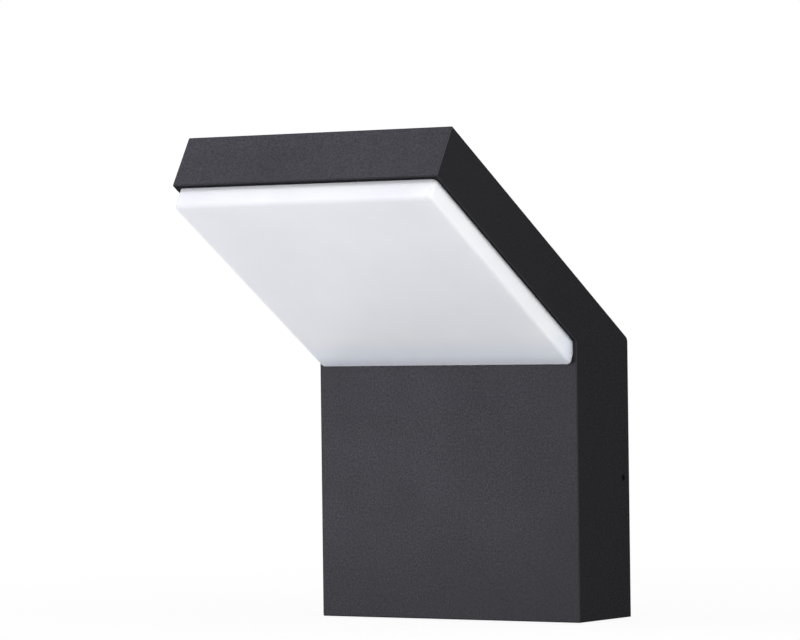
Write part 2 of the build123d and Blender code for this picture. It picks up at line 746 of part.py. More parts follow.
# Cord clamp: a bar with an arch, which two screws pull onto the supply cable
clamp_face = cord_clamp_seat - cord_clamp_thickness
clamp_plan = Pos(0, cord_clamp_y) * SlotOverall(cord_clamp_length, cord_clamp_width)
clamp_plan = clamp_plan - disc_at(cord_clamp_points, small_clear / 2)
arch_radius = supply_cable / 2
arch_place = Pos(0, -cord_clamp_seat - arch_radius + cord_clamp_arch, cord_clamp_y)
cord_clamp = wall_block(clamp_plan, clamp_face, cord_clamp_seat)
cord_clamp = cord_clamp - arch_place * Cylinder(arch_radius, 2 * cord_clamp_width)
write_node("cord_clamp", cord_clamp)
clamp_reach = cord_clamp_thickness + shank_reach
write_node("cord_clamp_screws", small_screws(cord_clamp_points, wall_plane, clamp_face, clamp_reach))

# Back cover: a plate with a locating rim that closes the box, its gasket and its four screws
cover_height = cover_top - cover_low
cover_plan = RectangleRounded(cover_width, cover_height, cover_corner_radius)
cover_plan = Pos(0, (cover_top + cover_low) / 2) * cover_plan - disc_at(post_points, small_clear / 2)
opening_place = Pos(0, opening_middle)
spigot_width = opening_width - 2 * spigot_gap
spigot_rise = opening_height - 2 * spigot_gap
spigot_plan = opening_place * RectangleRounded(spigot_width, spigot_rise, cavity_radius)
spigot_plan = spigot_plan - opening_place * Rectangle(
    spigot_width - 2 * spigot_wall, spigot_rise - 2 * spigot_wall
)
spigot_plan = spigot_plan - disc_at(post_points, post_radius + spigot_gap)
back_cover = wall_block(cover_plan - Circle(supply_hole / 2), cover_near, cover_far)
back_cover = back_cover + wall_block(spigot_plan, cover_near, cover_far + spigot_height)
write_node("back_cover", back_cover)
gasket_plan = cover_plan - opening_place * Rectangle(opening_width, opening_height)
gasket_plan = gasket_plan + disc_at(post_points, post_radius) - disc_at(post_points, small_clear / 2)
write_node("back_cover_gasket", wall_block(gasket_plan, cover_far, cover_seat))
cover_reach = cover_thickness + gasket_thickness + post_shank_reach
write_node("back_cover_screws", small_screws(post_points, wall_plane, cover_near, cover_reach))

# Supply grommet: a rubber bush in the back cover, in front of the bracket's cable hole
supply_disc = Circle(supply_flange / 2)
supply_grommet = wall_block(Circle(supply_hole / 2 - fit_clearance), cover_near, cover_far)
supply_grommet = supply_grommet + wall_block(supply_disc, cover_near - supply_lip, cover_near)
supply_grommet = supply_grommet + wall_block(supply_disc, cover_far, cover_far + supply_lip)
supply_grommet = supply_grommet - wall_block(Circle(supply_cable / 2), 0, box_depth)
write_node("supply_grommet", supply_grommet)
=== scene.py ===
from math import cos, pi, radians, sin

import bmesh
import bpy
from mathutils import Matrix, Vector


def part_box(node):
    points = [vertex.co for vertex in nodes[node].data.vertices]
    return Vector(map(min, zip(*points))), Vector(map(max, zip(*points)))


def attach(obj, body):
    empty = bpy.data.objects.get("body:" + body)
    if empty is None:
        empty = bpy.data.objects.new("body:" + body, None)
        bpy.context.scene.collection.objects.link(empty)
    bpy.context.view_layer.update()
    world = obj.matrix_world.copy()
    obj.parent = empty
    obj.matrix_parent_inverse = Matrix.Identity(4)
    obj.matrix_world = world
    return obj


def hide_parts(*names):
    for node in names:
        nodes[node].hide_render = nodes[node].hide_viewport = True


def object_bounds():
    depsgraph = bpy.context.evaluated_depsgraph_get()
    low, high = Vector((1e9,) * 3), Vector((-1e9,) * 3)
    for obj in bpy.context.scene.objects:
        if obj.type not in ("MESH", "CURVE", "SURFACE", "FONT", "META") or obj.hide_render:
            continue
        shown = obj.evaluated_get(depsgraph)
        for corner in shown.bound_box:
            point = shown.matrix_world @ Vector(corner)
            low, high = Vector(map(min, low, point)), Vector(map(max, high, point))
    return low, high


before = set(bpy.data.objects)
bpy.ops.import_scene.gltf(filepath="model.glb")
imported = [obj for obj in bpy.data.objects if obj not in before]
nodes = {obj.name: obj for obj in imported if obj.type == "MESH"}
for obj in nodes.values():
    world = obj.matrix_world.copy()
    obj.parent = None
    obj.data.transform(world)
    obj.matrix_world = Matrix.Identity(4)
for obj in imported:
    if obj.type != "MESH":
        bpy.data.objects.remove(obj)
cad_low, cad_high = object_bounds()

# Housing: one aluminium casting, bent from the box on the wall into the sloping head. It is blasted and
# powder coated in anthracite with fine metal flakes, so it has a satin grain and looks darker at a slant.
# Its rounded edges are a little lighter, partly where the coat is thinner and partly as a painted
# highlight.
slope = radians(31.25)
anthracite = (0.0374, 0.0367, 0.0406, 1)
anthracite_deep = (0.0275, 0.0270, 0.0299, 1)
anthracite_speck_and_edge_highlight = (0.056, 0.055, 0.060, 1)
anthracite_slant = (0.09, 0.09, 0.09, 1)
edge_start, edge_full = 0.01, 0.2


def wire(tree, node, feeds):
    """Each named input of a node set to a value or wired to a socket."""
    for name, value in feeds.items():
        if isinstance(value, bpy.types.NodeSocket):
            tree.links.new(value, node.inputs[name])
        else:
            node.inputs[name].default_value = value


def put(tree, kind, feeds=None, **settings):
    """A new node of a tree, with its inputs and its settings."""
    made = tree.nodes.new(kind)
    for name, value in settings.items():
        setattr(made, name, value)
    wire(tree, made, feeds or {})
    return made


def maths(tree, operation, *values):
    """Result of one sum on values or sockets."""
    return put(tree, "ShaderNodeMath", dict(enumerate(values)), operation=operation).outputs[0]


def split(tree, vector):
    """The X, Y and Z parts of a vector."""
    return put(tree, "ShaderNodeSeparateXYZ", {0: vector}).outputs


def lean_back(tree, vector, angle):
    """A vector turned about X."""
    feeds = {"Vector": vector, "Angle": angle}
    return put(tree, "ShaderNodeVectorRotate", feeds, rotation_type="X_AXIS").outputs[0]


def spread(tree, value, over, to=(0.0, 1.0)):
    """A value taken from one range to another and held inside it."""
    feeds = {"Value": value, "From Min": over[0], "From Max": over[1], "To Min": to[0], "To Max": to[1]}
    return put(tree, "ShaderNodeMapRange", feeds).outputs["Result"]


def blend(tree, share, first, second):
    """A colour between two colours, on the sockets that the mix node has for colours."""
    return put(tree, "ShaderNodeMix", {0: share, 6: first, 7: second}, data_type="RGBA").outputs[2]


def noise(tree, place, scale, detail=2.0, roughness=0.5):
    """Soft noise of a given scale per metre."""
    feeds = {"Vector": place, "Scale": scale, "Detail": detail, "Roughness": roughness}
    return put(tree, "ShaderNodeTexNoise", feeds).outputs["Fac"]


def bump(tree, height, strength, distance):
    """The normal of a surface that rises and falls with a height."""
    feeds = {"Strength": strength, "Distance": distance, "Height": height}
    return put(tree, "ShaderNodeBump", feeds).outputs["Normal"]


def effect(name, inputs, outputs):
    """An empty shader group with named inputs, which have usual values, and named outputs."""
    group = bpy.data.node_groups.new(name, "ShaderNodeTree")
    kinds = {1: "NodeSocketFloat", 3: "NodeSocketVector", 4: "NodeSocketColor"}
    for title, value in inputs.items():
        kind = kinds[len(value) if isinstance(value, tuple) else 1]
        group.interface.new_socket(title, in_out="INPUT", socket_type=kind).default_value = value
    for title in outputs:
        kind = "NodeSocketColor" if title == "Color" else "NodeSocketFloat"
        group.interface.new_socket(title, in_out="OUTPUT", socket_type=kind)
    return group, group.nodes.new("NodeGroupInput").outputs, group.nodes.new("NodeGroupOutput")


def use(tree, group, feeds):
    """A shared effect placed in a material with its own values."""
    return put(tree, "ShaderNodeGroup", feeds, node_tree=group).outputs


def place_on(tree):
    """Where a point lies on the object."""
    return put(tree, "ShaderNodeTexCoord").outputs["Object"]


def finish_of(name):
    """A new material, its tree and its surface shader."""
    material = bpy.data.materials.new(name)
    material.use_nodes = True
    return material, material.node_tree, material.node_tree.nodes["Principled BSDF"]


def dress(node, material):
    """A solid of the frame keeps its mesh and takes a material."""
    nodes[node].data.materials.clear()
    nodes[node].data.materials.append(material)


# Round edges of a piece: where the surface turns between its flat faces, upright or along the slope
round_edges = {"Slope": slope, "Start": edge_start, "Full": edge_full}
turned, taken, given = effect("round_edges", round_edges, ["Mask"])
facing = put(turned, "ShaderNodeTexCoord").outputs["Normal"]
upright = split(turned, facing)
leaning = split(turned, lean_back(turned, facing, taken["Slope"]))
flattest = maths(turned, "ABSOLUTE", upright[0])
for part in (upright[1], upright[2], leaning[1], leaning[2]):
    flattest = maths(turned, "MAXIMUM", flattest, maths(turned, "ABSOLUTE", part))
turning = maths(turned, "SUBTRACT", 1.0, flattest)
wire(turned, given, {"Mask": spread(turned, turning, over=(taken["Start"], taken["Full"]))})

# Powder coat: melted grains that make a fine orange peel with tiny darker and lighter specks
skin_outputs = ["Color", "Roughness", "Height"]
peel_fineness, speck_fineness = 0.5, 2.6
powder_tones = {"Tone": anthracite, "Deep Tone": anthracite_deep, "Edge Tone": anthracite_speck_and_edge_highlight}
powder_grain = {"Edge": 0.0, "Grain Scale": 1000.0, "Gloss Low": 0.36, "Gloss High": 0.46}
coat, taken, given = effect("powder_coat_grain", {**powder_tones, **powder_grain}, skin_outputs)
here = place_on(coat)
fineness = taken["Grain Scale"]
grain = noise(coat, here, fineness, detail=5.0, roughness=0.7)
peel = noise(coat, here, maths(coat, "MULTIPLY", fineness, peel_fineness))
cloud = noise(coat, here, scale=26.0, detail=3.0, roughness=0.55)
speck = noise(coat, here, maths(coat, "MULTIPLY", fineness, speck_fineness), detail=1.0)
cloud_share = spread(coat, cloud, over=(0.3, 0.7), to=(0.0, 0.2))
grain_share = spread(coat, grain, over=(0.38, 0.66))
speck_share = spread(coat, speck, over=(0.62, 0.8), to=(0.0, 0.35))
tone = blend(coat, cloud_share, taken["Tone"], taken["Deep Tone"])
tone = blend(coat, grain_share, tone, taken["Deep Tone"])
tone = blend(coat, speck_share, tone, taken["Edge Tone"])
# Lighter rounded edges: partly a thinner coat, partly a painted highlight.
thin_coat_and_highlight = maths(coat, "MULTIPLY", taken["Edge"], spread(coat, peel, over=(0.3, 0.7), to=(0.35, 0.8)))
gloss = maths(coat, "MULTIPLY_ADD", cloud, 0.3, grain)
wire(coat, given, {
    "Color": blend(coat, thin_coat_and_highlight, tone, taken["Edge Tone"]),
    "Roughness": spread(coat, gloss, over=(0.45, 0.85), to=(taken["Gloss Low"], taken["Gloss High"])),
    "Height": maths(coat, "MULTIPLY_ADD", grain, 0.4, maths(coat, "MULTIPLY", peel, 0.6)),
})


def surface(name, group, feeds, strength, distance, shine, metal=0.0, slant=(1, 1, 1, 1), edge_wear_and_highlight=True):
    """A material from a shared skin, with lighter edges where the piece has flat faces: wear, and on the
    housing also a painted highlight.
    """
    material, tree, shader = finish_of(name)
    skin = use(tree, group, feeds)
    if edge_wear_and_highlight:
        edges = use(tree, turned, round_edges)
        wire(tree, skin["Color"].node, {"Edge": edges["Mask"]})
    wire(tree, shader, {
        "Base Color": skin["Color"],
        "Roughness": skin["Roughness"],
        "Normal": bump(tree, skin["Height"], strength, distance),
        "Metallic": metal,
        "Specular IOR Level": shine,
        "Specular Tint": slant,
    })
    return material


# The housing's rounded edges take the lighter edge tone: partly a thinner coat, partly a painted highlight.
dress("housing", surface(
    "anthracite_powder_coat", coat, powder_tones, strength=0.2, distance=0.0002, shine=0.03, metal=0.7,
    slant=anthracite_slant,
))

# Light source: a thin silicone pad on the casting's raised seat carries heat from a metal-core board
# with a white solder mask, which four screws hold.
pad_tones = {"Tone": (0.17, 0.21, 0.27, 1), "Bloom Tone": (0.30, 0.34, 0.40, 1)}
mask_white = (0.80, 0.80, 0.77, 1)
mask_over_copper = (0.70, 0.71, 0.66, 1)
track_width, track_height, track_gap = 0.0168, 0.01848, 0.0011

rubber_skin = {**pad_tones, "Edge": 0.0, "Grain Scale": 700.0, "Bloom": 0.35}
soft_rubber, taken, given = effect("soft_rubber_skin", rubber_skin, skin_outputs)
here = place_on(soft_rubber)
grain = noise(soft_rubber, here, taken["Grain Scale"], detail=3.0, roughness=0.6)
dust = noise(soft_rubber, here, scale=60.0, detail=4.0, roughness=0.6)
bloom = maths(soft_rubber, "MULTIPLY", spread(soft_rubber, dust, over=(0.4, 0.75)), taken["Bloom"])
bloom = maths(soft_rubber, "MAXIMUM", bloom, maths(soft_rubber, "MULTIPLY", taken["Edge"], 0.4))
wire(soft_rubber, given, {
    "Color": blend(soft_rubber, bloom, taken["Tone"], taken["Bloom Tone"]),
    "Roughness": spread(soft_rubber, grain, over=(0.3, 0.7), to=(0.62, 0.82)),
    "Height": grain,
})

pad_skin = {**pad_tones, "Grain Scale": 1100.0}
pad = surface("grey_silicone_pad", soft_rubber, pad_skin, strength=0.3, distance=0.0002, shine=0.3)
dress("thermal_pad", pad)


def track_gaps(tree, place, turn, width, height, gap, softness, offset):
    """Where a printed board has no copper: the gaps between rows of equal copper areas."""
    laid = put(tree, "ShaderNodeMapping", {"Vector": place, "Rotation": (turn, 0.0, 0.0)}).outputs[0]
    feeds = {
        "Vector": laid, "Scale": 1.0, "Brick Width": width, "Row Height": height, "Mortar Size": gap,
        "Mortar Smooth": softness,
    }
    return put(tree, "ShaderNodeTexBrick", feeds, offset=offset).outputs["Fac"]


def track_relief(tree, gaps, unevenness, share):
    """The normal of a board whose copper stands a little higher than the gaps."""
    rise = maths(tree, "MULTIPLY_ADD", unevenness, share, maths(tree, "SUBTRACT", 1.0, gaps))
    return bump(tree, rise, strength=0.4, distance=0.00006)


board, tree, shader = finish_of("white_solder_mask")
here = place_on(tree)
gaps = track_gaps(tree, here, slope, track_width, track_height, track_gap, softness=0.25, offset=0.0)
stain = noise(tree, here, scale=90.0, detail=4.0, roughness=0.6)
stain_share = spread(tree, stain, over=(0.5, 0.8), to=(0.0, 0.3))
tone = blend(tree, gaps, mask_over_copper, mask_white)
wire(tree, shader, {
    "Base Color": blend(tree, stain_share, tone, mask_over_copper),
    "Roughness": spread(tree, stain, over=(0.3, 0.7), to=(0.28, 0.42)),
    "Normal": track_relief(tree, gaps, noise(tree, here, scale=1400.0), share=0.25),
})
dress("led_board", board)

# Diodes: white moulded packages in even rows, soldered to the board. Each has a shallow cup on the
# side that faces the diffuser, filled with yellow phosphor.
diode_sizes = {"Width": 0.0028, "Length": 0.0035, "Height": 0.0007, "Cup": 0.00018}
cup_rim_share, cup_floor_share = 0.84, 0.86
package_tones = {"Tone": (0.80, 0.79, 0.75, 1), "Flow Tone": (0.72, 0.70, 0.64, 1)}
phosphor_tones = {"Tone": (0.76, 0.55, 0.09, 1), "Flow Tone": (0.82, 0.66, 0.18, 1)}
package_edge = (0.80, 0.80, 0.80, 1)
same_point, same_place = 0.000001, 0.000002
crease = radians(35)


def solids_of(node, lean):
    """Lowest and highest corner of each solid of a node, in a frame leant back about X."""
    shape = bmesh.new()
    shape.from_mesh(nodes[node].data)
    bmesh.ops.remove_doubles(shape, verts=shape.verts, dist=same_point)
    back = Matrix.Rotation(-lean, 3, "X")
    left = set(shape.verts)
    found = []
    while left:
        reach = [left.pop()]
        points = []
        while reach:
            vertex = reach.pop()
            points.append(back @ vertex.co)
            beside = {edge.other_vert(vertex) for edge in vertex.link_edges} & left
            left -= beside
            reach.extend(beside)
        low = Vector([min(point[axis] for point in points) for axis in range(3)])
        high = Vector([max(point[axis] for point in points) for axis in range(3)])
        found.append((low, high))
    shape.free()
    return found


def seats(node, lean, rise=0.0):
    """Where each solid of a node stands, a given rise above its lowest point, and how far it goes on."""
    forth = Matrix.Rotation(lean, 3, "X")
    spots = []
    for low, high in solids_of(node, lean):
        middle = (low + high) / 2
        spot = forth @ Vector((middle.x, middle.y, low.z + rise))
        spots.append(tuple(round(part, 7) for part in spot))
        reach = round(high.z - low.z - rise, 7)
    return sorted(spots), reach


def recipe(name, sizes, materials, counts=()):
    """An empty geometry tree with named inputs, for pieces that repeat at given places."""
    tree = bpy.data.node_groups.new(name, "GeometryNodeTree")
    inputs = {
        "NodeSocketGeometry": ["Places"], "NodeSocketFloat": sizes, "NodeSocketInt": counts,
        "NodeSocketMaterial": materials, "NodeSocketVector": ["Turn"],
    }
    for kind, titles in inputs.items():
        for title in titles:
            tree.interface.new_socket(title, in_out="INPUT", socket_type=kind)
    tree.interface.new_socket("Pieces", in_out="OUTPUT", socket_type="NodeSocketGeometry")
    return tree, tree.nodes.new("NodeGroupInput").outputs, tree.nodes.new("NodeGroupOutput")


def join(tree, x=0.0, y=0.0, z=0.0):
    """A vector from its X, Y and Z parts."""
    return put(tree, "ShaderNodeCombineXYZ", {0: x, 1: y, 2: z}).outputs[0]


def block(tree, x, y, z):
    """A box round the origin."""
    return put(tree, "GeometryNodeMeshCube", {"Size": join(tree, x, y, z)}).outputs["Mesh"]


def lift(tree, geometry, height):
    """Geometry moved along Z."""
    feeds = {"Geometry": geometry, "Translation": join(tree, z=height)}
    return put(tree, "GeometryNodeTransform", feeds).outputs[0]


def step(tree, mesh, chosen, rise, share):
    """The mesh with its chosen faces raised or sunk and scaled, and the choice of those faces."""
    feeds = {"Mesh": mesh, "Selection": chosen, "Offset Scale": rise}
    raised = put(tree, "GeometryNodeExtrudeMesh", feeds).outputs
    feeds = {"Geometry": raised["Mesh"], "Selection": raised["Top"], "Scale": share}
    return put(tree, "GeometryNodeScaleElements", feeds).outputs[0], raised["Top"]


def repeat(tree, taken, piece):
    """The piece, with doubled points merged, at each place, turned, as real geometry."""
    feeds = {"Geometry": piece, "Distance": same_place}
    merged = put(tree, "GeometryNodeMergeByDistance", feeds).outputs[0]
    feeds = {"Points": taken["Places"], "Instance": merged, "Rotation": taken["Turn"]}
    copies = put(tree, "GeometryNodeInstanceOnPoints", feeds).outputs[0]
    return put(tree, "GeometryNodeRealizeInstances", {0: copies}).outputs[0]


def paint(tree, geometry, material, where=True):
    """Geometry, or the chosen faces of it, in a material."""
    feeds = {"Geometry": geometry, "Selection": where, "Material": material}
    return put(tree, "GeometryNodeSetMaterial", feeds).outputs[0]


def build(node, tree, spots, values):
    """The repeated pieces as one plain mesh, which stands for a solid of the frame."""
    mesh = bpy.data.meshes.new(node + "_places")
    mesh.from_pydata(spots, [], [])
    piece = bpy.data.objects.new(node + "_made", mesh)
    bpy.context.scene.collection.objects.link(piece)
    work = piece.modifiers.new(tree.name, "NODES")
    work.node_group = tree
    for socket in tree.interface.items_tree:
        if socket.item_type == "SOCKET" and socket.in_out == "INPUT" and socket.name in values:
            work[socket.identifier] = values[socket.name]
    shown = piece.evaluated_get(bpy.context.evaluated_depsgraph_get())
    plain = bpy.data.meshes.new_from_object(shown)
    piece.modifiers.remove(work)
    piece.data = plain
    plain.shade_smooth()
    plain.set_sharp_from_angle(angle=crease)
    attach(piece, "luminaire")
    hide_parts(node)


plastic_skin = {"Edge": 0.0, "Grain Scale": 900.0, "Gloss Low": 0.42, "Gloss High": 0.58}
plastic_tones = {**package_tones, "Edge Tone": package_edge}
moulded, taken, given = effect("moulded_plastic_skin", {**plastic_tones, **plastic_skin}, skin_outputs)
here = place_on(moulded)
sparks = noise(moulded, here, taken["Grain Scale"], detail=3.0, roughness=0.6)
flow = noise(moulded, here, scale=34.0, detail=4.0, roughness=0.6)
flow_share = spread(moulded, flow, over=(0.35, 0.75), to=(0.0, 0.9))
spark_share = spread(moulded, sparks, over=(0.55, 0.8), to=(0.0, 0.35))
tone = blend(moulded, flow_share, taken["Tone"], taken["Flow Tone"])
tone = blend(moulded, spark_share, tone, taken["Flow Tone"])
rubbed = maths(moulded, "MULTIPLY", taken["Edge"], spread(moulded, flow, over=(0.3, 0.7), to=(0.25, 0.7)))
wire(moulded, given, {
    "Color": blend(moulded, rubbed, tone, taken["Edge Tone"]),
    "Roughness": spread(moulded, sparks, over=(0.3, 0.7), to=(taken["Gloss Low"], taken["Gloss High"])),
    "Height": sparks,
})

package_skin = {**package_tones, "Grain Scale": 2600.0}
phosphor_skin = {**phosphor_tones, "Grain Scale": 5200.0}
diode_finish = {
    "Package": surface("diode_package", moulded, package_skin, strength=0.15, distance=0.00005, shine=0.4),
    "Phosphor": surface(
        "diode_phosphor", moulded, phosphor_skin, strength=0.3, distance=0.00005, shine=0.5, edge_wear_and_highlight=False
    ),
}

diodes, taken, given = recipe("diode_rows", diode_sizes, diode_finish)
body = block(diodes, taken["Width"], taken["Length"], taken["Height"])
body = lift(diodes, body, maths(diodes, "MULTIPLY", taken["Height"], -0.5))
facing = split(diodes, put(diodes, "GeometryNodeInputNormal").outputs[0])
light_side = maths(diodes, "LESS_THAN", facing[2], -0.5)
body, rim = step(diodes, body, light_side, 0.0, cup_rim_share)
body, cup = step(diodes, body, rim, maths(diodes, "MULTIPLY", taken["Cup"], -1.0), cup_floor_share)
rows = paint(diodes, repeat(diodes, taken, body), taken["Package"])
wire(diodes, given, {"Pieces": paint(diodes, rows, taken["Phosphor"], cup)})
spots, _ = seats("led_chips", -slope, diode_sizes["Height"])
build("led_chips", diodes, spots, {**diode_sizes, **diode_finish, "Turn": (-slope, 0.0, 0.0)})

# Board screws and connector: zinc-plated pan-head screws with a cross recess and a rolled thread
# hold the board, and a small nylon socket on its lower edge takes the two leads.
screw_sizes = {
    "Head Diameter": 0.0056, "Head Height": 0.0020, "Shank Diameter": 0.0024, "Pitch": 0.0005,
    "Thread Depth": 0.00016, "Recess Width": 0.0030, "Recess Wing": 0.00062, "Recess Depth": 0.0012,
}
head_tuck, head_sag = 0.22, 0.25
recess_taper = 0.8
steps_per_turn, tip_turns, tip_share = 4.0, 4.0, 0.6
zinc_tones = {
    "Tone": (0.50, 0.505, 0.51, 1), "Dull Tone": (0.36, 0.365, 0.37, 1), "Edge Tone": (0.68, 0.68, 0.67, 1),
}
nylon_tones = {
    "Tone": (0.74, 0.74, 0.70, 1), "Flow Tone": (0.66, 0.65, 0.60, 1), "Edge Tone": (0.82, 0.82, 0.79, 1),
}

metal_skin = {
    "Edge": 0.0, "Stretch": (1.0, 1.0, 1.0), "Line Scale": 900.0, "Gloss Low": 0.28, "Gloss High": 0.48,
}
plated, taken, given = effect("plated_metal_skin", {**zinc_tones, **metal_skin}, skin_outputs)
here = place_on(plated)
drawn = put(plated, "ShaderNodeVectorMath", {0: here, 1: taken["Stretch"]}, operation="MULTIPLY").outputs[0]
lines = noise(plated, drawn, taken["Line Scale"], detail=3.0, roughness=0.6)
bath = noise(plated, here, scale=70.0, detail=4.0, roughness=0.55)
bath_share = spread(plated, bath, over=(0.35, 0.7), to=(0.0, 0.8))
line_share = spread(plated, lines, over=(0.55, 0.8), to=(0.0, 0.45))
tone = blend(plated, bath_share, taken["Tone"], taken["Dull Tone"])
tone = blend(plated, line_share, tone, taken["Dull Tone"])
rubbed = maths(plated, "MULTIPLY", taken["Edge"], spread(plated, lines, over=(0.3, 0.7), to=(0.3, 0.9)))
gloss = maths(plated, "MULTIPLY_ADD", lines, 0.6, maths(plated, "MULTIPLY", bath, 0.4))
wire(plated, given, {
    "Color": blend(plated, rubbed, tone, taken["Edge Tone"]),
    "Roughness": spread(plated, gloss, over=(0.35, 0.65), to=(taken["Gloss Low"], taken["Gloss High"])),
    "Height": lines,
})

screw_skin = {**zinc_tones, "Line Scale": 2200.0}
screw_steel = surface(
    "zinc_plated_screw", plated, screw_skin, strength=0.12, distance=0.00005, shine=0.5, metal=1.0,
    edge_wear_and_highlight=False,
)


def points_of(tree):
    """The X, Y and Z parts of each point's place."""
    return split(tree, put(tree, "GeometryNodeInputPosition").outputs[0])


def reshape(tree, geometry, x, y, z):
    """Geometry with each point at a new place."""
    feeds = {"Geometry": geometry, "Position": join(tree, x, y, z)}
    return put(tree, "GeometryNodeSetPosition", feeds).outputs[0]


def rod(tree, diameter, length, pitch, depth):
    """A threaded rod from the origin along Z, with a tapered tip."""
    rings = maths(tree, "DIVIDE", maths(tree, "MULTIPLY", length, steps_per_turn), pitch)
    rings = maths(tree, "ROUND", rings)
    radius = maths(tree, "MULTIPLY", diameter, 0.5)
    feeds = {"Vertices": 20, "Side Segments": rings, "Radius": radius, "Depth": length}
    plain = put(tree, "GeometryNodeMeshCylinder", feeds).outputs["Mesh"]
    plain = lift(tree, plain, maths(tree, "MULTIPLY", length, 0.5))
    x, y, z = points_of(tree)
    turn_share = maths(tree, "DIVIDE", maths(tree, "ARCTAN2", y, x), 2 * pi)
    climb = maths(tree, "MULTIPLY_ADD", turn_share, pitch, maths(tree, "ADD", z, pitch))
    half_pitch = maths(tree, "MULTIPLY", pitch, 0.5)
    groove = maths(tree, "DIVIDE", maths(tree, "PINGPONG", climb, half_pitch), half_pitch)
    cut_in = maths(tree, "MULTIPLY", groove, maths(tree, "DIVIDE", depth, radius))
    tip_length = maths(tree, "MULTIPLY", pitch, tip_turns)
    to_tip = maths(tree, "DIVIDE", maths(tree, "SUBTRACT", length, z), tip_length)
    taper = maths(tree, "MINIMUM", 1.0, maths(tree, "ADD", to_tip, tip_share))
    share = maths(tree, "MULTIPLY", maths(tree, "SUBTRACT", 1.0, cut_in), taper)
    return reshape(tree, plain, maths(tree, "MULTIPLY", x, share), maths(tree, "MULTIPLY", y, share), z)


def cutter(tree, size_x, size_y, size_z, height):
    """A block round a given height, narrower towards its upper end, which cuts a recess."""
    plain = block(tree, size_x, size_y, size_z)
    x, y, z = points_of(tree)
    narrowing = maths(tree, "DIVIDE", maths(tree, "MULTIPLY", z, recess_taper), size_z)
    share = maths(tree, "SUBTRACT", 1.0, narrowing)
    across = [maths(tree, "MULTIPLY", part, share) for part in (x, y)]
    return reshape(tree, plain, *across, maths(tree, "ADD", z, height))


def combine(tree, operation, first, others):
    """The first solid cut by the others, or all the others in one."""
    made = put(tree, "GeometryNodeMeshBoolean", first, operation=operation, solver="EXACT")
    for other in others:
        tree.links.new(other, made.inputs[1])
    return made.outputs[0]


pan_screws, taken, given = recipe("pan_head_screws", [*screw_sizes, "Shank Length"], ["Steel"])
full = taken["Head Height"]
wide = maths(pan_screws, "MULTIPLY", taken["Head Diameter"], 0.5)
feeds = {"Vertices": 32, "Side Segments": 6, "Fill Segments": 4, "Radius": wide, "Depth": full}
head = put(pan_screws, "GeometryNodeMeshCylinder", feeds, fill_type="TRIANGLE_FAN").outputs["Mesh"]
head = lift(pan_screws, head, maths(pan_screws, "MULTIPLY", full, -0.5))
x, y, z = points_of(pan_screws)
level = maths(pan_screws, "DIVIDE", maths(pan_screws, "MULTIPLY", z, -1.0), full)
flat_point = join(pan_screws, x, y)
reach = put(pan_screws, "ShaderNodeVectorMath", {0: flat_point}, operation="LENGTH").outputs["Value"]
out = maths(pan_screws, "POWER", maths(pan_screws, "DIVIDE", reach, wide), 2.0)
tuck = maths(pan_screws, "MULTIPLY", maths(pan_screws, "POWER", level, 3.0), head_tuck)
tuck = maths(pan_screws, "SUBTRACT", 1.0, tuck)
sag = maths(pan_screws, "MULTIPLY", maths(pan_screws, "MULTIPLY", level, out), head_sag)
sag = maths(pan_screws, "SUBTRACT", 1.0, sag)
domed = [maths(pan_screws, "MULTIPLY", part, share) for part, share in ((x, tuck), (y, tuck), (z, sag))]
head = reshape(pan_screws, head, *domed)
top = maths(pan_screws, "MULTIPLY", full, -1.0)
tall = maths(pan_screws, "MULTIPLY", taken["Recess Depth"], 2.0)
width, wing = taken["Recess Width"], taken["Recess Wing"]
cross = [cutter(pan_screws, *sizes, tall, top) for sizes in ((width, wing), (wing, width))]
head = combine(pan_screws, "DIFFERENCE", {0: head}, cross)
thread = taken["Pitch"], taken["Thread Depth"]
shank = rod(pan_screws, taken["Shank Diameter"], taken["Shank Length"], *thread)
whole = combine(pan_screws, "UNION", {}, [head, shank])
wire(pan_screws, given, {"Pieces": paint(pan_screws, repeat(pan_screws, taken, whole), taken["Steel"])})


def pan_head_screws(node, lean, scale=1.0):
    """The small screws of one node, which stand on their seats and reach away along a lean about X."""
    values = {title: size * scale for title, size in screw_sizes.items()}
    spots, values["Shank Length"] = seats(node, lean, values["Head Height"])
    finish = {"Steel": screw_steel, "Turn": (lean, 0.0, 0.0)}
    build(node, pan_screws, spots, {**values, **finish})


pan_head_screws("led_board_screws", -slope)
dress("led_connector", surface(
    "white_nylon", moulded, nylon_tones, strength=0.2, distance=0.0001, shine=0.4
))

# Diffuser and seal: an opal acrylic tray, moulded with rounded edges and bonded by its rim onto a bead
# of silicone. It is milky all through, in soft clouds. Towards its lower end, where it sinks into the
# housing, it is painted bluer and darker as painted shade, with a darker band of painted shadow at the very
# end.
opal_white = (0.892, 0.898, 0.922, 1)
opal_shade = (0.842, 0.857, 0.894, 1)
opal_painted_shade = (0.800, 0.846, 0.905, 1)
opal_painted_gap_shadow = (0.68, 0.70, 0.76, 1)
painted_shade_cloud_drift = (4.2, 0.6, 0.9)
painted_shade_reach, painted_shadow_reach, painted_shadow_full = 0.027, 0.009, 0.003
silicone_tones = {"Tone": (0.62, 0.63, 0.63, 1), "Bloom Tone": (0.74, 0.74, 0.73, 1)}

silicone_skin = {**silicone_tones, "Grain Scale": 500.0}
dress("diffuser_seal", surface(
    "translucent_silicone", soft_rubber, silicone_skin, strength=0.2, distance=0.0002, shine=0.4
))

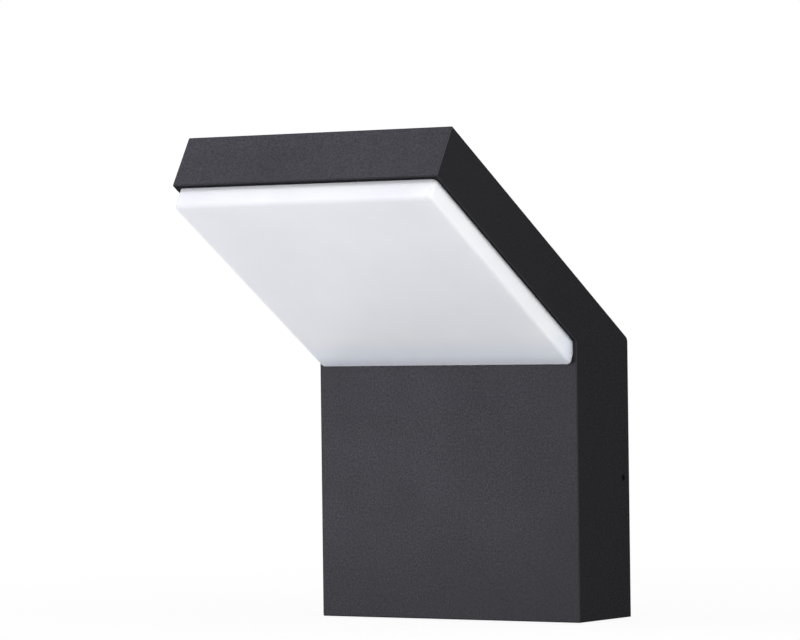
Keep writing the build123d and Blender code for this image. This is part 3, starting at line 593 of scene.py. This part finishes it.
opal, tree, shader = finish_of("opal_acrylic")
here = place_on(tree)
# The milk clouds are random tone, shifted so that a darker cloud lies over the face's right side as painted
# shade.
drifted = put(tree, "ShaderNodeMapping", {"Vector": here, "Location": painted_shade_cloud_drift}).outputs[0]
milk = noise(tree, drifted, scale=14.0, detail=3.0, roughness=0.55)
tone = blend(tree, spread(tree, milk, over=(0.35, 0.7)), opal_white, opal_shade)
_, tray_end = solids_of("diffuser", -slope)[0]
from_end = maths(tree, "SUBTRACT", tray_end.y, split(tree, lean_back(tree, here, slope))[1])
# Painted shade: bluer and darker over the lower 27 mm, then a darker band of painted shadow in the last 9
# mm.
tone = blend(tree, spread(tree, from_end, over=(painted_shade_reach, painted_shadow_reach)), tone, opal_painted_shade)
tone = blend(tree, spread(tree, from_end, over=(painted_shadow_reach, painted_shadow_full)), tone, opal_painted_gap_shadow)
haze = noise(tree, here, scale=60.0, detail=3.0)
wire(tree, shader, {
    "Base Color": tone,
    "Roughness": spread(tree, haze, over=(0.3, 0.7), to=(0.32, 0.42)),
    "Normal": bump(tree, noise(tree, here, scale=900.0), strength=0.08, distance=0.0002),
    "Subsurface Weight": 0.3,
    "Subsurface Radius": (1.0, 1.0, 1.0),
    "Subsurface Scale": 0.003,
    "Specular IOR Level": 0.3,
})
dress("diffuser", opal)

# Leads: two thin stranded wires in soft insulation, which run from the driver through a rubber plug
# in the wall between the box and the head.
red_tones = {"Tone": (0.36, 0.012, 0.014, 1), "Rub Tone": (0.46, 0.05, 0.045, 1)}
black_tones = {"Tone": (0.012, 0.012, 0.013, 1), "Rub Tone": (0.035, 0.035, 0.036, 1)}
plug_tones = {"Tone": (0.014, 0.014, 0.0145, 1), "Bloom Tone": (0.048, 0.047, 0.046, 1)}

wire_skin = {**red_tones, "Edge": 0.0, "Streak Scale": 420.0}
insulation, taken, given = effect("drawn_insulation_skin", wire_skin, skin_outputs)
here = place_on(insulation)
streak = noise(insulation, here, taken["Streak Scale"], detail=4.0, roughness=0.6)
kink = noise(insulation, here, scale=120.0)
streak_share = spread(insulation, streak, over=(0.45, 0.75), to=(0.0, 0.8))
tone = blend(insulation, streak_share, taken["Tone"], taken["Rub Tone"])
rubbed = maths(insulation, "MULTIPLY", taken["Edge"], 0.3)
wire(insulation, given, {
    "Color": blend(insulation, rubbed, tone, taken["Rub Tone"]),
    "Roughness": spread(insulation, kink, over=(0.3, 0.7), to=(0.34, 0.5)),
    "Height": maths(insulation, "MULTIPLY_ADD", streak, 0.4, maths(insulation, "MULTIPLY", kink, 0.6)),
})


def insulated(node, name, tones):
    """One wire in its insulation."""
    dress(node, surface(name, insulation, tones, strength=0.25, distance=0.0002, shine=0.45, edge_wear_and_highlight=False))


insulated("led_lead_positive", "red_insulation", red_tones)
insulated("led_lead_negative", "black_insulation", black_tones)
plug_skin = {**plug_tones, "Grain Scale": 900.0}
black_rubber = surface("black_rubber", soft_rubber, plug_skin, strength=0.35, distance=0.0002, shine=0.35)
dress("lead_grommet", black_rubber)

# Driver: the converter that feeds the diodes. A two-piece moulded case with two fixing ears holds a
# green laminate board with a taped transformer and two sleeved capacitors.
case_tones = {
    "Tone": (0.70, 0.70, 0.67, 1), "Flow Tone": (0.62, 0.62, 0.58, 1), "Edge Tone": (0.79, 0.79, 0.76, 1),
}
lid_tones = {
    "Tone": (0.72, 0.72, 0.69, 1), "Flow Tone": (0.65, 0.65, 0.61, 1), "Edge Tone": (0.80, 0.80, 0.77, 1),
}
laminate_copper, laminate_gap = (0.040, 0.17, 0.075, 1), (0.022, 0.095, 0.042, 1)
laminate_weave = (0.06, 0.20, 0.10, 1)
foil_width, foil_height, foil_gap = 0.0094, 0.0052, 0.0009
tape_dark, tape_light = (0.52, 0.36, 0.06, 1), (0.62, 0.45, 0.10, 1)
ferrite_dark, ferrite_light = (0.022, 0.022, 0.024, 1), (0.06, 0.058, 0.056, 1)
sleeve_dark, sleeve_light = (0.010, 0.012, 0.022, 1), (0.026, 0.030, 0.050, 1)
tin_dark, tin_light = (0.50, 0.50, 0.50, 1), (0.62, 0.62, 0.61, 1)
core_half = 0.00455

dress("driver_case", surface(
    "white_polycarbonate", moulded, case_tones, strength=0.3, distance=0.0002, shine=0.4
))
dress("driver_lid", surface(
    "white_polycarbonate_lid", moulded, lid_tones, strength=0.35, distance=0.0002, shine=0.4
))

laminate, tree, shader = finish_of("green_laminate")
here = place_on(tree)
gaps = track_gaps(tree, here, pi / 2, foil_width, foil_height, foil_gap, softness=0.2, offset=0.37)
weave = noise(tree, here, scale=1600.0)
weave_share = spread(tree, weave, over=(0.5, 0.8), to=(0.0, 0.4))
tone = blend(tree, gaps, laminate_copper, laminate_gap)
wire(tree, shader, {
    "Base Color": blend(tree, weave_share, tone, laminate_weave),
    "Roughness": spread(tree, weave, over=(0.3, 0.7), to=(0.3, 0.42)),
    "Normal": track_relief(tree, gaps, weave, share=0.3),
})
dress("driver_board", laminate)

# The transformer's middle is its ferrite core, and its coil stands out above and below
wound, tree, shader = finish_of("taped_transformer")
here = place_on(tree)
core_low, core_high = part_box("driver_transformer")
off_middle = maths(tree, "SUBTRACT", split(tree, here)[2], (core_low.z + core_high.z) / 2)
coil = maths(tree, "GREATER_THAN", maths(tree, "ABSOLUTE", off_middle), core_half)
grit = noise(tree, here, scale=1300.0, detail=3.0, roughness=0.65)
feeds = {"Vector": here, "Scale": 160.0, "Distortion": 1.5}
wraps = put(tree, "ShaderNodeTexWave", feeds, bands_direction="Y").outputs["Fac"]
tape = blend(tree, wraps, tape_dark, tape_light)
ferrite = blend(tree, grit, ferrite_dark, ferrite_light)
dullness = maths(tree, "MULTIPLY_ADD", coil, -0.4, grit)
wire(tree, shader, {
    "Base Color": blend(tree, coil, ferrite, tape),
    "Roughness": spread(tree, dullness, over=(0.0, 0.7), to=(0.3, 0.7)),
    "Normal": bump(tree, blend(tree, coil, grit, wraps), strength=0.3, distance=0.0001),
})
dress("driver_transformer", wound)

# Each capacitor's end that faces the wall is bare tin
sleeved, tree, shader = finish_of("capacitor_sleeve")
facing = split(tree, put(tree, "ShaderNodeTexCoord").outputs["Normal"])
bare = maths(tree, "GREATER_THAN", facing[1], 0.9)
film = noise(tree, place_on(tree), scale=300.0, detail=3.0)
sleeve = blend(tree, film, sleeve_dark, sleeve_light)
tin = blend(tree, film, tin_dark, tin_light)
wire(tree, shader, {
    "Base Color": blend(tree, bare, sleeve, tin),
    "Metallic": bare,
    "Roughness": spread(tree, film, over=(0.3, 0.7), to=(0.26, 0.4)),
    "Normal": bump(tree, film, strength=0.15, distance=0.0001),
})
dress("driver_capacitors", sleeved)

# All screws but the board's stand with their heads towards the wall and reach forward
forward = pi / 2
pan_head_screws("driver_screws", forward)

# Terminal block: a three-pole strip of natural polyamide on two screws. Each pole is a brass tube, and
# slotted steel screws in its two towers press the wires.
block_tones = {
    "Tone": (0.71, 0.69, 0.62, 1), "Flow Tone": (0.63, 0.60, 0.52, 1), "Edge Tone": (0.79, 0.77, 0.71, 1),
}
brass_tones = {
    "Tone": (0.62, 0.45, 0.17, 1), "Dull Tone": (0.44, 0.31, 0.12, 1), "Edge Tone": (0.74, 0.57, 0.26, 1),
}
slotted_sizes = {
    "Diameter": 0.0032, "Pitch": 0.0006, "Thread Depth": 0.0002, "Slot Width": 0.0007, "Slot Depth": 0.0010,
}

dress("terminal_block", surface(
    "natural_polyamide", moulded, block_tones, strength=0.25, distance=0.0002, shine=0.45
))
brass_skin = {**brass_tones, "Line Scale": 1500.0}
dress("terminal_clamps", surface(
    "turned_brass", plated, brass_skin, strength=0.15, distance=0.0001, shine=0.5, metal=1.0, edge_wear_and_highlight=False
))

slot_screws, taken, given = recipe("slotted_screws", [*slotted_sizes, "Length"], ["Steel"])
shank = rod(slot_screws, taken["Diameter"], taken["Length"], taken["Pitch"], taken["Thread Depth"])
across = maths(slot_screws, "MULTIPLY", taken["Diameter"], 2.0)
tall = maths(slot_screws, "MULTIPLY", taken["Slot Depth"], 2.0)
slot = cutter(slot_screws, across, taken["Slot Width"], tall, 0.0)
whole = combine(slot_screws, "DIFFERENCE", {0: shank}, [slot])
wire(slot_screws, given, {"Pieces": paint(slot_screws, repeat(slot_screws, taken, whole), taken["Steel"])})
spots, length = seats("terminal_screws", forward)
slotted_finish = {"Length": length, "Steel": screw_steel, "Turn": (forward, 0.0, 0.0)}
build("terminal_screws", slot_screws, spots, {**slotted_sizes, **slotted_finish})
pan_head_screws("terminal_block_screws", forward)

# Mains wires: brown live and blue neutral run from the block to the driver. The earth wire is green
# with a yellow stripe and ends in a ring terminal on its own post.
brown_tones = {"Tone": (0.085, 0.032, 0.014, 1), "Rub Tone": (0.14, 0.065, 0.035, 1)}
blue_tones = {"Tone": (0.012, 0.055, 0.32, 1), "Rub Tone": (0.03, 0.10, 0.42, 1)}
green_tones = {"Tone": (0.03, 0.22, 0.03, 1), "Rub Tone": (0.07, 0.29, 0.06, 1)}
yellow_tones = {"Tone": (0.66, 0.52, 0.02, 1), "Rub Tone": (0.72, 0.60, 0.10, 1)}
tin_tones = {
    "Tone": (0.58, 0.57, 0.54, 1), "Dull Tone": (0.43, 0.42, 0.39, 1), "Edge Tone": (0.70, 0.69, 0.66, 1),
}
stripe_start = 0.88

insulated("live_wire", "brown_insulation", brown_tones)
insulated("neutral_wire", "blue_insulation", blue_tones)

striped, tree, shader = finish_of("green_and_yellow_insulation")
wire_low, wire_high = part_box("earth_wire")
stripe_y = wire_low.y + stripe_start * (wire_high.y - wire_low.y)
stripe = maths(tree, "GREATER_THAN", split(tree, place_on(tree))[1], stripe_y)
green, yellow = use(tree, insulation, green_tones), use(tree, insulation, yellow_tones)
wire(tree, shader, {
    "Base Color": blend(tree, stripe, green["Color"], yellow["Color"]),
    "Roughness": green["Roughness"],
    "Normal": bump(tree, green["Height"], strength=0.25, distance=0.0002),
})
dress("earth_wire", striped)
tin_skin = {**tin_tones, "Line Scale": 1200.0}
dress("earth_ring", surface(
    "tinned_brass", plated, tin_skin, strength=0.15, distance=0.0001, shine=0.5, metal=1.0
))

# Earth washer and screw: a washer with bent teeth bites through the coat, and a larger pan-head screw
# presses it onto the ring terminal.
washer_low, washer_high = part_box("earth_washer")
spots, thickness = seats("earth_washer", forward)
washer_width = washer_high.x - washer_low.x
tooth_root_share = 0.8
washer_sizes = {
    "Outer Diameter": washer_width, "Root Diameter": washer_width * tooth_root_share, "Bore": 0.0043,
    "Thickness": thickness,
}
washer_finish = {"Teeth": 14, "Steel": screw_steel, "Turn": (forward, 0.0, 0.0)}
earth_screw_scale = 1.3


def together(tree, *pieces):
    """Several curves or meshes as one."""
    joined = put(tree, "GeometryNodeJoinGeometry")
    for piece in pieces:
        tree.links.new(piece, joined.inputs[0])
    return joined.outputs[0]


washers, taken, given = recipe("toothed_washers", washer_sizes, ["Steel"], ["Teeth"])
root, outer, bore = (
    maths(washers, "MULTIPLY", taken[title], 0.5) for title in ("Root Diameter", "Outer Diameter", "Bore")
)
feeds = {"Points": taken["Teeth"], "Inner Radius": root, "Outer Radius": outer}
star = put(washers, "GeometryNodeCurveStar", feeds).outputs[0]
feeds = {"Resolution": 48, "Radius": bore}
hole = put(washers, "GeometryNodeCurvePrimitiveCircle", feeds, mode="RADIUS").outputs["Curve"]
sheet = put(washers, "GeometryNodeFillCurve", {0: together(washers, star, hole)}).outputs[0]
under = put(washers, "GeometryNodeFlipFaces", {0: sheet}).outputs[0]
feeds = {"Mesh": sheet, "Offset Scale": taken["Thickness"], "Individual": False}
raised = put(washers, "GeometryNodeExtrudeMesh", feeds).outputs["Mesh"]
laid = repeat(washers, taken, together(washers, raised, under))
wire(washers, given, {"Pieces": paint(washers, laid, taken["Steel"])})
build("earth_washer", washers, spots, {**washer_sizes, **washer_finish})
pan_head_screws("earth_screw", forward, earth_screw_scale)

# Cord clamp: a moulded bar with an arch, which two screws pull onto the supply cable. Like the back
# cover it is of dark glass-filled nylon.
dark_tones = {
    "Tone": (0.030, 0.030, 0.033, 1), "Flow Tone": (0.042, 0.042, 0.045, 1),
    "Edge Tone": (0.075, 0.075, 0.078, 1),
}
dark_skin = {**dark_tones, "Grain Scale": 1200.0, "Gloss Low": 0.5, "Gloss High": 0.68}
dark_nylon = surface(
    "dark_glass_filled_nylon", moulded, dark_skin, strength=0.4, distance=0.0002, shine=0.3
)
dress("cord_clamp", dark_nylon)
pan_head_screws("cord_clamp_screws", forward)

# Back cover: a plate with a locating rim that closes the box from the wall side over a foam-rubber
# gasket, on four screws. The supply cable enters through a rubber bush in its middle.
dress("back_cover", dark_nylon)
dress("back_cover_gasket", black_rubber)
pan_head_screws("back_cover_screws", forward)
dress("supply_grommet", black_rubber)

# Wall bracket: a strip of zinc-plated steel, punched with two slots and a cable hole and bent at both
# ends. It is screwed to the wall, and the housing slides over it.
sheet_tones = {
    "Tone": (0.52, 0.53, 0.54, 1), "Dull Tone": (0.40, 0.41, 0.425, 1), "Edge Tone": (0.68, 0.68, 0.67, 1),
}
rolled_along = (0.05, 1.0, 1.0)
sheet_skin = {
    **sheet_tones, "Stretch": rolled_along, "Line Scale": 1100.0, "Gloss Low": 0.30, "Gloss High": 0.50,
}
dress("wall_bracket", surface(
    "zinc_plated_sheet", plated, sheet_skin, strength=0.12, distance=0.0001, shine=0.5, metal=1.0
))

# Side screws: small black-oxide set screws with a hexagon socket and a dog point. They pass through the
# housing's sides and lock it in the bracket's notches.
oxide_tones = {
    "Tone": (0.030, 0.030, 0.032, 1), "Dull Tone": (0.018, 0.018, 0.019, 1),
    "Edge Tone": (0.16, 0.155, 0.15, 1),
}
oxide_skin = {**oxide_tones, "Line Scale": 2400.0, "Gloss Low": 0.35, "Gloss High": 0.5}
black_oxide = surface(
    "black_oxide_steel", plated, oxide_skin, strength=0.15, distance=0.0001, shine=0.4, metal=0.8,
    edge_wear_and_highlight=False,
)
dress("side_screw_left", black_oxide)
dress("side_screw_right", black_oxide)

# Studio: a pale floor under the light, two soft boxes from the front left that give the front faces
# their sheen, a small fill high on the right, a low one for the diffuser's face, and an even sky.
floor_clearance = 0.0005
floor_z = cad_low.z - floor_clearance
floor_half = 6.0
floor_paint = (0.90, 0.90, 0.90, 1)
shadow_near, shadow_far = 0.15, 0.5
white_near, white_far = 0.92, 1.0
white = (1, 1, 1, 1)
sky_light = 0.65
cool, plain = (0.91, 0.90, 1.0), (1.0, 1.0, 1.0)
middle = Vector((0.0, -0.08, 0.04))


def to_be_white(tree):
    """One where a ray should meet the white background: seen by the camera, in gloss or through glass."""
    rays = put(tree, "ShaderNodeLightPath").outputs
    through = maths(tree, "MAXIMUM", rays["Is Glossy Ray"], rays["Is Transmission Ray"])
    return maths(tree, "MAXIMUM", rays["Is Camera Ray"], through)


mesh = bpy.data.meshes.new("floor")
corners = [(x * floor_half, y * floor_half, floor_z) for x, y in ((-1, -1), (1, -1), (1, 1), (-1, 1))]
mesh.from_pydata(corners, [], [(0, 1, 2, 3)])
floor = bpy.data.objects.new("floor", mesh)
bpy.context.scene.collection.objects.link(floor)
paper, tree, shader = finish_of("pale_floor")
wire(tree, shader, {"Base Color": floor_paint, "Roughness": 0.9, "Specular IOR Level": 0.0})
away = put(tree, "ShaderNodeVectorMath", {0: place_on(tree)}, operation="LENGTH").outputs["Value"]
whiteness = spread(tree, away, over=(shadow_near, shadow_far), to=(white_near, white_far))
share = maths(tree, "MULTIPLY", to_be_white(tree), whiteness)
glow = put(tree, "ShaderNodeEmission", {"Color": white, "Strength": 1.0}).outputs["Emission"]
both = put(tree, "ShaderNodeMixShader", {0: share, 1: shader.outputs["BSDF"], 2: glow}).outputs["Shader"]
wire(tree, tree.nodes["Material Output"], {"Surface": both})
floor.data.materials.append(paper)

world = bpy.data.worlds.new("studio_sky")
world.use_nodes = True
sky = world.node_tree
sky.nodes.clear()
dim = put(sky, "ShaderNodeBackground", {"Color": white, "Strength": sky_light}).outputs[0]
bright = put(sky, "ShaderNodeBackground", {"Color": white, "Strength": 1.0}).outputs[0]
both = put(sky, "ShaderNodeMixShader", {0: to_be_white(sky), 1: dim, 2: bright}).outputs[0]
put(sky, "ShaderNodeOutputWorld", {"Surface": both})
bpy.context.scene.world = world


def soft_box(name, way, distance, size, power, tint):
    """A square soft box that looks at the middle of the light from a given way."""
    lamp = bpy.data.lights.new(name, "AREA")
    lamp.color = tint
    lamp.shape = "SQUARE"
    lamp.size = size
    lamp.energy = power
    stand = bpy.data.objects.new(name, lamp)
    stand.location = middle + distance * Vector(way).normalized()
    stand.rotation_euler = Vector(way).to_track_quat("Z", "Y").to_euler()
    bpy.context.scene.collection.objects.link(stand)


soft_box("front_box", way=(-0.54, -0.84, -0.04), distance=1.1, size=0.32, power=2.36, tint=cool)
soft_box("head_box", way=(-0.54, -0.38, 0.75), distance=2.0, size=0.6, power=7.8, tint=cool)
soft_box("side_fill", way=(0.35, -0.12, 0.26), distance=0.52, size=0.24, power=0.78, tint=plain)
soft_box("low_fill", way=(-0.35, -0.42, -0.04), distance=0.45, size=0.12, power=0.09, tint=plain)

# Camera: level with the head and to the right of the front, with the photograph's long lens. Its place
# and turn come from a fit of the housing's straight edges to those in the photograph.
yaw, pitch, roll = radians(32.33), radians(-0.368), radians(-0.708)
aim = Vector((-0.00465, -0.080, 0.0744))
aim_distance = 1.9324
away = Vector((sin(yaw) * cos(pitch), -cos(yaw) * cos(pitch), sin(pitch)))
right = Vector((cos(yaw), sin(yaw), 0.0))
up = away.cross(right)
level = cos(roll) * right + sin(roll) * up
plumb = cos(roll) * up - sin(roll) * right
lens = bpy.data.cameras.new("photo_camera")
lens.sensor_fit = "HORIZONTAL"
lens.sensor_width = 36.0
lens.lens = 189.54
camera = bpy.data.objects.new("photo_camera", lens)
stance = Matrix((level, plumb, away)).transposed().to_4x4()
stance.translation = aim + aim_distance * away
camera.matrix_world = stance
bpy.context.scene.collection.objects.link(camera)
bpy.context.scene.camera = camera
bpy.context.scene.view_settings.view_transform = "Standard"
